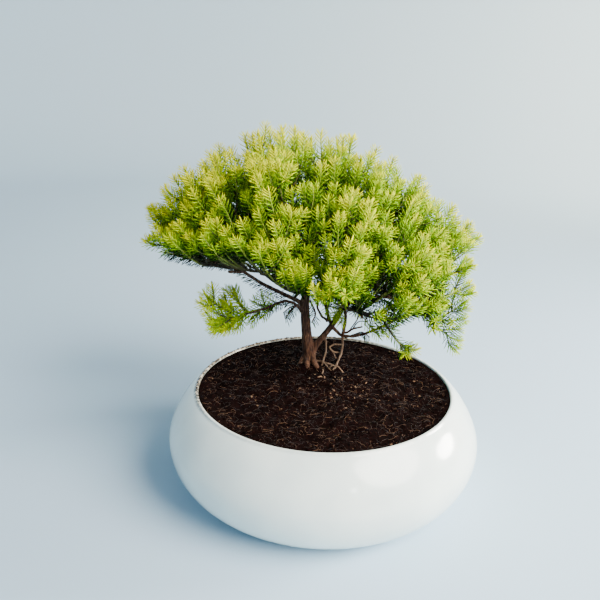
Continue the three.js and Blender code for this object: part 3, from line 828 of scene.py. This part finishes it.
# Long shoots that stand out at the crown's left and right ends: foot and tip
edgeShoots = [
    [(-130, 45, 201), (-148, 45, 226)], [(-124, 38, 186), (-146, 38, 203)],
    [(-113, 30, 222), (-122, 30, 243)], [(104, 40, 203), (122, 40, 212)],
    [(95, 14, 182), (112, 14, 187)], [(88, 8, 162), (117, 8, 176)],
]
needleValues = {
    "length": 8.4,
    "width": 1.04,
    "thickness": 0.88,
    "bow": 0.13,  # how far the tip bends towards the end of the shoot, as a share of the length
    "spacing": (1.05, 0.34),  # along the shoot, at its foot and its end
    "fullEnd": 14,  # length of the end where they stand closer and closer
    "lean": (0.98, 0.6),  # from the shoot, in radians
    "unevenLean": 0.16,
    "shortEnd": 7,  # length of the end where they get shorter
    "nextTurn": math.pi + 0.62,  # from one needle to the next round the shoot: two ranks that slowly wind
    "newGrowth": 11,  # length of the golden end
    "paintedTopLight": (0.2, 190, 280),  # painted light: how much more golden and lighter the crown is up there, and from where to where
    "shaded": (0.27, 192, 152),  # painted shade: how much darker it is down there
    "fringe": 15,  # the height of the fringe of painted shade along the crown's lower left edge
    "fringeShade": (0.42, -28, -48),  # how dark it is, from the middle to the left
    # painted shade: greener and darker towards the left, away from the lights, and on the right under its
    # top
    "paintedShadeLeft": (0.06, 0, -130),
    "paintedShadeRight": (0.2, 0, 110),
    "paintedShadeBelowTop": (235, 175),  # the right is greener and darker under its top: painted shade that tones down the strong light there
}
combValues = {
    "spacing": (0.5, 1.3),
    "spread": (0.15, 1.1),  # how far to either side they stand
    "lean": (0.25, 0.6),  # how far towards the end of the wood
    "size": (0.75, 1.1),
    "youth": (-0.15, 0.2),
    "clothedLimb": [(-16, 45, 134), (-32, 33, 150), (-48, 24, 147), (-62, 17, 144), (-68, 14, 146)],
    # Where old needles hang: the wood's middle line, its radius and the stretch that bears them
    "lines": [
        ([(-16, 45, 142), (-34, 42, 152), (-57, 40, 164), (-78, 38, 180)], 1.8, 0.25, 1.0),
        (thinWoodValues["twigs"][0][0], 0.7, 0.0, 0.95),
        ([(-16, 45, 134), (-32, 33, 150), (-48, 24, 147), (-62, 17, 142)], 1.4, 0.3, 1.0),
        ([(34, 40, 117), (50, 34, 127), (64, 30, 137)], 1.2, 0.3, 1.0),
        ([(16, 44, 142), (32, 27, 156), (44, 12, 162), (52, -4, 164)], 1.5, 0.3, 1.0),
        ([(-16, 45, 152), (-18, 28, 166), (-22, 10, 172), (-24, -6, 174)], 1.6, 0.4, 1.0),
        *[(points, 0.5, 0.2, 1.0) for points, footRadius, endRadius in thinWoodValues["twigs"][1:4]],
        ([(24, 42, 140), (32, 41, 138), (42, 40, 133)], 0.6, 0.3, 1.0),
        ([(21, 44, 112), (28, 43, 116), (34, 42, 118), (41, 41, 114)], 0.5, 0.4, 1.0),
    ],
}


def crownPoint(turn, share):  # the crown's outer face: share is 1 at the top and 0 at its widest
    v = crownValues
    out = math.sqrt(1 - share * share)
    rightward, backward = math.cos(turn), math.sin(turn)
    above = v["rise"] * (1 - out ** (v["fullness"] - v["lessFullRight"] * rightward)) ** v["roundTop"]
    frontLift = v["frontLift"] * max(0, -backward) * max(0.9, 1 - 1.5 * rightward)
    below = (v["droop"] + v["sideDroop"] * rightward - frontLift) * (share / v["lowest"])
    return v["middle"] + Vector((v["width"] * out * rightward, v["depth"] * out * backward,
                                 -v["lean"] * out * rightward + (above if share > 0 else -below)))


def undersideAt(point):
    v = crownValues
    level = float(np.interp(point.x, v["undersidePlaces"], v["undersideHeights"]))
    return level + v["undersideRise"] * (v["middle"].y - point.y)


def seenAt(point):  # how far across and up the camera sees the point, level with the pot's middle
    across, up = crownValues["sight"]
    return point.x - across * point.y, point.z + up * point.y


def leftOfFace(point):  # how far the point lies inside the lower right face
    across, up = seenAt(point)
    return float(np.interp(up, crownValues["rightHeights"], crownValues["rightLimits"])) - across


def isInHollow(point):
    across, up = seenAt(point)
    middle, height, radius = crownValues["hollow"]
    return point.y < 12 and math.hypot(across - middle, up - height) < radius


def isAbove(stem):  # whether the stem ends above the crown's underside and inside its lower right face
    tip = stem["points"][-1]
    return tip.z > undersideAt(tip) and leftOfFace(tip) > -4 and not isInHollow(tip)


def makeStem(foot, elbow, tip):  # a stem that bends once, towards its elbow
    shares = np.linspace(0, 1, 41)
    return evenStem([foot * (1 - t) ** 2 + elbow * (2 * t * (1 - t)) + tip * t * t for t in shares])


def reachAlong(line):  # how far along a line each of its points is
    return np.concatenate(([0], np.cumsum([(b - a).length for a, b in zip(line, line[1:])])))


def evenStem(line):  # a stem along a line, as points at equal steps of its length
    reach = reachAlong(line)
    places = np.array(line)
    equal = np.linspace(0, reach[-1], 25)
    points = np.stack([np.interp(equal, reach, places[:, k]) for k in range(3)], axis=1)
    return {"points": [Vector(p) for p in points], "length": float(reach[-1])}


def placeOn(stem, share):
    points = stem["points"]
    at = within(share) * (len(points) - 1)
    low = min(int(at), len(points) - 2)
    return points[low].lerp(points[low + 1], at - low), (points[low + 1] - points[low]).normalized()


def risingStem(foot, tip, lift):  # a stem whose last part turns up
    foot, tip = Vector(foot), Vector(tip)
    ending = (tip - foot).normalized() + Vector((0, 0, lift))
    return makeStem(foot, tip - ending.normalized() * 0.45 * (tip - foot).length, tip)


def levelOf(number, count):  # even steps down the crown's face
    return 1 - (1 - crownValues["lowest"]) * ((number + 0.5) / count)


def mainStems():  # the crown's main stems, and then those of the hanging sprays
    crown, spray = crownValues, sprayValues
    stems = []
    for i in range(crown["sprays"]):
        share = levelOf(i, crown["sprays"])
        tip = crownPoint(crown["firstTurn"] + i * goldenTurn + crown["unevenTurn"] * draw(i), share)
        foot = tip + (crown["hub"] - tip).normalized() * spray["length"]
        foot.z -= between(*spray["footDrop"], max(0, share))
        tip.z = max(tip.z, undersideAt(tip) + crown["undersideUneven"])
        stems.append(risingStem(foot, tip, spray["lift"]))
    for foot, tip in spray["hanging"]:
        stems.append(risingStem(foot, tip, spray["hangingLift"]))
    return stems


def spoke(tangent, side, turn):  # the direction straight out from a line, turned round it from its side
    return side * math.cos(turn) + tangent.cross(side) * math.sin(turn)


def branchOff(stem, share, turn, lean, reach, turnUp):  # a shoot that leaves a stem and turns up
    point, tangent = placeOn(stem, share)
    side = sideOf(tangent)
    side = (side - tangent * side.dot(tangent)).normalized()
    leaving = tangent.lerp(spoke(tangent, side, turn), lean).normalized()
    follow, rise = turnUp
    ending = leaving.lerp(placeOn(stem, 1)[1], follow) + Vector((0, 0, rise))
    elbow = point + leaving * reach / 2
    return makeStem(point, elbow, elbow + ending.normalized() * reach / 2)


def sideShoots(number, stem):
    v = sprayValues
    shoots = []
    for j in range(v["sideShoots"]):
        share = between(v["sideFrom"], v["sideTo"], (0.2 + j * goldenShare) % 1)
        turn = j * goldenTurn + 2 * math.pi * draw(number + 500)
        reach = v["sideLength"] * (1.02 - 0.3 * share) * (0.9 + 0.25 * draw(1000 + number * 100 + j))
        shoots.append(branchOff(stem, share, turn, v["sideLean"], reach, v["sideTurnUp"]))
    return shoots


def smallShoots(number, stem):
    v = sprayValues
    shoots = []
    for j in range(v["smallShoots"][number % 2]):
        chance = draw(7000 + number * 10 + j)
        share = between(v["smallFrom"], v["smallTo"], (chance + j * goldenShare) % 1)
        turn = 2 * math.pi * (draw(8000 + number) + j * 0.42)
        reach = v["smallLength"] * (0.8 + 0.5 * chance)
        shoots.append(branchOff(stem, share, turn, v["smallLean"], reach, v["smallTurnUp"]))
    return shoots


def shootsToFace(stems, count, depths, firstTurn):  # for each main stem, its shoots to the face
    crown, spray = crownValues, sprayValues
    lowerPart = 16  # of a stem's 25 points: shoots leave its lower two thirds
    feet = [(n, point) for n in range(crown["sprays"]) for point in stems[n]["points"][:lowerPart]]
    shoots = [[] for _ in stems]
    for i in range(count):
        face = crownPoint(firstTurn + i * goldenTurn, levelOf(i, count))
        bunch = spray["bunching"] * noise.noise(face / spray["bunchSize"])
        tip = face.lerp(crown["hub"], max(-0.01, between(*depths, draw(30000 + i) ** 1.5) + bunch))
        tip.z = max(tip.z, undersideAt(tip) + 2 * crown["undersideUneven"] * draw(33000 + i))
        upward = ((tip - crown["hub"]).normalized() + Vector((0, 0, spray["risingLift"]))).normalized()
        below = tip - upward * spray["risingLength"]
        nearest, foot = min(feet, key=lambda place: (place[1] - below).length)
        shoots[nearest].append(makeStem(foot, tip - upward * 0.6 * (tip - foot).length, tip))
    return shoots


def needleStamp():  # a three-sided awl, one unit long, that swells a little and bends to one side
    v = needleValues
    swellAt, footFullness, swellFullness = 0.72, 0.7, 2.9
    bm = bmesh.new()
    bmesh.ops.create_cone(bm, cap_ends=True, segments=3, radius1=0.5, radius2=0, depth=1,
                          matrix=Matrix.Translation((0, 0, 0.5)))
    bmesh.ops.bisect_plane(bm, geom=bm.verts[:] + bm.edges[:] + bm.faces[:], plane_co=(0, 0, swellAt),
                           plane_no=(0, 0, 1))
    bmesh.ops.remove_doubles(bm, verts=bm.verts, dist=0.01)
    for corner in bm.verts:
        z = corner.co.z
        fullness = footFullness if z < 0.1 else swellFullness
        corner.co.x = corner.co.x * fullness * v["thickness"] / v["length"] + v["bow"] * z * z
        corner.co.y *= fullness * v["width"] / v["length"]
    bmesh.ops.triangulate(bm, faces=bm.faces)
    bmesh.ops.recalc_face_normals(bm, faces=bm.faces)
    stamp = stampOf(bm, "youth")
    stamp["tip"] = stamp["corners"][:, 2].copy()
    return stamp


def needleTurn(tangent, heading, size):  # a 3x3 array that turns a needle to its heading
    bowed = (tangent - heading * tangent.dot(heading)).normalized()
    return np.array((bowed, heading.cross(bowed), heading)).T * size


def paintedLightShare(point):  # painted shade: 0 deep inside the crown, 1 at its outer face
    v = crownValues
    q = point - v["middle"]
    height = q.z / (v["rise"] if q.z > 0 else 60)
    out = math.sqrt((q.x / v["width"]) ** 2 + (q.y / v["depth"]) ** 2 + height ** 2)
    return climb(out, *v["exposed"])


def youthAt(foot, look, share, newness):  # a needle's place on the colour ramp: 0 is old and dark, 1 golden, with painted shade and light mixed in
    v = needleValues
    paintedLight = paintedLightShare(foot)
    moreGolden, *paintedTopLight = v["paintedTopLight"]
    # painted light: higher needles are lighter and more golden
    youth = between(*look["youth"], share) + moreGolden * climb(foot.z, *paintedTopLight)
    # painted shade: needles deeper inside the crown are darker and less golden
    youth = youth * between(0.3, 1.0, paintedLight) + look["golden"] * newness * between(0.15, 1.0, paintedLight)
    if not look["isFree"]:
        darker, *lowDown = v["shaded"]
        fringeShade, *leftward = v["fringeShade"]
        inShadeFringe = 1 - within((foot.z - undersideAt(foot)) / v["fringe"])
        # painted shade low in the crown and along its lower left edge
        youth -= darker * climb(foot.z, *lowDown) + fringeShade * inShadeFringe * climb(foot.x, *leftward)
    # painted shade towards the left, and on the right under its top
    shadeAmount, *leftward = v["paintedShadeLeft"]
    youth -= shadeAmount * climb(foot.x, *leftward)
    shadeAmount, *rightward = v["paintedShadeRight"]
    return youth - shadeAmount * climb(foot.x, *rightward) * climb(foot.z, *v["paintedShadeBelowTop"])


def isInCrown(foot, one, two):  # whether a needle's foot is inside the crown's outline, frayed by two draws
    isOverUnderside = foot.z > undersideAt(foot) - crownValues["undersideUneven"] * one
    return isOverUnderside and leftOfFace(foot) > 3 - 7 * two and not isInHollow(foot)


def clothe(bm, stamp, stem, bare, look, number):  # needles along a shoot past its bare foot; says how many
    v = needleValues
    length = stem["length"]
    at = bare
    turn = 2 * math.pi * draw(number)
    ownYouth = 0.2 * (draw(number + 77) - 0.5)
    count = 0
    pressed = 0
    while at < length - 0.3:
        share = at / length
        nearTip = within(1 - (length - at) / v["shortEnd"]) ** 3
        point, tangent = placeOn(stem, share)
        outward = spoke(tangent, sideOf(tangent).normalized(), turn)
        one, two = draw(number * 131 + count), draw(number * 131 + count + 5077)
        lean = between(*v["lean"], 0.2 * share + 0.8 * nearTip) + v["unevenLean"] * (one - 0.5)
        heading = tangent * math.cos(lean) + outward * math.sin(lean)
        size = v["length"] * between(0.8, 1.0, within(share * 3)) * (1 - 0.48 * nearTip)
        size *= 0.88 + 0.22 * two
        foot = point + outward * 0.25
        if look["isFree"] or isInCrown(foot, one, two):
            newness = within(1 - (length - at) / v["newGrowth"])
            youth = youthAt(foot, look, share, newness) + ownYouth
            press(bm, stamp, needleTurn(tangent, heading, size), np.array(foot), youth + 0.08 * stamp["tip"])
            pressed += 1
        at += between(*v["spacing"], within(1 - (length - at) / v["fullEnd"]) ** 0.7) * look["sparse"]
        turn += v["nextTurn"]
        count += 1
    return pressed


def makeNeedleMaterial():
    # Living conifer needles: a waxy skin, dull with bloom, over soft leaf that lets some light through; old
    # ones are deep green, new ones lime, and the newest tips golden. Their place on the ramp also carries
    # painted shade inside the crown, low in it and towards its sides, and painted light at its top
    material, nodeTree, shader = newMaterial("coniferNeedles", {
        "Roughness": 0.58, "IOR": 1.45, "Specular IOR Level": 0.04, "Subsurface Weight": 0.15,
        "Subsurface Radius": (1.0, 1.2, 0.3), "Subsurface Scale": 0.001})
    place = addNode(nodeTree, "TexCoord", output="Object")
    tuftSize = 30  # millimetres: whole tufts differ in how golden they are
    tufts = addNode(nodeTree, "TexNoise", {"Vector": place, "Scale": mmPerMetre / tuftSize, "Detail": 1.0})
    youth = addNode(nodeTree, "Attribute", output="Fac", attribute_name="youth")
    shifted = addNode(nodeTree, "Math", {0: tufts, 1: 0.3, 2: youth}, operation="MULTIPLY_ADD")
    centred = addNode(nodeTree, "Math", {0: shifted, 1: 0.15}, operation="SUBTRACT")
    colour = addNode(nodeTree, "ValToRGB", {"Fac": centred},
                     stops=[(0.0, "0a1805"), (0.2, "305a08"), (0.46, "74a204"), (0.72, "a6c200"),
                            (0.88, "bece00"), (1.0, "d2d400")])
    setSockets(shader, {"Base Color": colour})
    return material


def makeTwigMaterial():
    # Young conifer twigs: green and soft at the end, woody and brown at the foot
    material, nodeTree, shader = newMaterial("greenTwig", {"Roughness": 0.6})
    youth = addNode(nodeTree, "Attribute", output="Fac", attribute_name="youth")
    colour = addNode(nodeTree, "ValToRGB", {"Fac": youth},
                     stops=[(0.0, "2a1c14"), (0.35, "4d4a20"), (0.7, "86982a")])
    setSockets(shader, {"Base Color": colour})
    return material


def addTwig(bm, stem, footRadius, endRadius):
    shares = np.linspace(0, 1, 7)
    points = [placeOn(stem, share)[0] for share in shares]
    addTube(bm, points, between(footRadius, endRadius, shares), 4, finish=1, youth=(0, 1))


def growShoot(bm, stamp, stem, kind, look, number):  # a green twig and its needles; says how many they are
    bare, footRadius, endRadius = shootWood[kind]
    addTwig(bm, stem, footRadius, endRadius)
    return clothe(bm, stamp, stem, look.get("bare", bare), look, number)


def addLoneShoots(bm, stamp):  # on the low wood and at the crown's ends
    looks = shootLooks
    for number, (foot, tip) in enumerate(lowShoots):
        shoot = risingStem(foot, tip, 0.1)
        growShoot(bm, stamp, shoot, "low", looks["low"], 80000 + number * 40)
    for number, (foot, tip) in enumerate(edgeShoots):
        longest = risingStem(foot, tip, 0.25)
        for j, shoot in enumerate([longest, *smallShoots(number * 2 + 901, longest)]):
            growShoot(bm, stamp, shoot, "edge", looks["edge"], 83000 + number * 40 + j)
    limb = evenStem(smoothLine(combValues["clothedLimb"], 8))
    clothe(bm, stamp, limb, 0.5 * limb["length"], looks["limb"], 81000)


def hangNeedles(bm, stamp):  # old dark needles that hang in two rows from the shaded wood
    v = combValues
    for number, (points, radius, first, last) in enumerate(v["lines"]):
        line = smoothLine(points, 8)
        reach = reachAlong(line)
        at = first * reach[-1]
        count = 0
        while at < last * reach[-1]:
            low = int(np.searchsorted(reach[:-1], at, "right")) - 1
            tangent = (line[low + 1] - line[low]).normalized()
            point = line[low] + tangent * (at - reach[low])
            down = (Vector((0, 0, -1)) + tangent * tangent.z).normalized()
            across = tangent.cross(down) * (1 if count % 2 else -1)
            one, two = draw(90000 + number * 500 + count), draw(95000 + number * 500 + count)
            outward = (down + across * between(*v["spread"], one)).normalized()
            heading = (outward + tangent * between(*v["lean"], two)).normalized()
            turnArray = needleTurn(tangent, heading, needleValues["length"] * between(*v["size"], two))
            foot = np.array(point + outward * radius * 0.7)
            press(bm, stamp, turnArray, foot, between(*v["youth"], one))
            at += between(*v["spacing"], two)
            count += 1


def makeOldNeedles(stamp, materials):
    bm = bmesh.new()
    addLoneShoots(bm, stamp)
    hangNeedles(bm, stamp)
    finishPiece("oldNeedles", bm, materials, "needles")


def shootsOf(number, stem, rising):  # a spray's shoots with their kinds: its stem and what leaves that
    v = sprayValues
    hanging = number - crownValues["sprays"]  # which of the hanging sprays it is; below 0 in the crown
    if hanging < 0:
        sides = sideShoots(number, stem)
    else:
        sides = [risingStem(placeOn(stem, share)[0], tip, v["hangingLift"])
                 for share, tip in v["hangingShoots"][hanging]]
    shoots = [(stem, "main"), *((side, "side") for side in sides), *((shoot, "rising") for shoot in rising)]
    if hanging != 1:  # the middle hanging spray is a twig with three shoots at its end
        for j, (shoot, kind) in enumerate(shoots[:]):
            shoots += [(small, "small") for small in smallShoots(number * 20 + j, shoot)]
    if hanging < 0:
        return "crown", [shoots[0], *(given for given in shoots[1:] if isAbove(given[0]))]
    return v["hangingLooks"][hanging], shoots


def makeSprays():
    v = sprayValues
    stamp = needleStamp()
    materials = [makeNeedleMaterial(), makeTwigMaterial()]
    makeOldNeedles(stamp, materials)
    stems = mainStems()
    firstTurn = crownValues["firstTurn"]
    rising = shootsToFace(stems, v["risingShoots"], v["unevenDepth"], firstTurn + 1.7)
    inner = shootsToFace(stems, v["innerShoots"], v["innerDepth"], firstTurn + 0.9)
    total = 0
    for number, stem in enumerate(stems):
        look, shoots = shootsOf(number, stem, rising[number])
        bm = bmesh.new()
        for j, (shoot, kind) in enumerate(shoots):
            total += growShoot(bm, stamp, shoot, kind, shootLooks[look], 20000 + number * 40 + j)
        for j, shoot in enumerate(inner[number]):
            total += growShoot(bm, stamp, shoot, "inner", shootLooks["inner"], 60000 + number * 40 + j)
        name, node = f"leafySpray{number + 1:02d}", f"spray_{number + 1:02d}"
        finishPiece(name, bm, materials, "needles", node)
    print("sprays made with", total, "needles")


makeSprays()
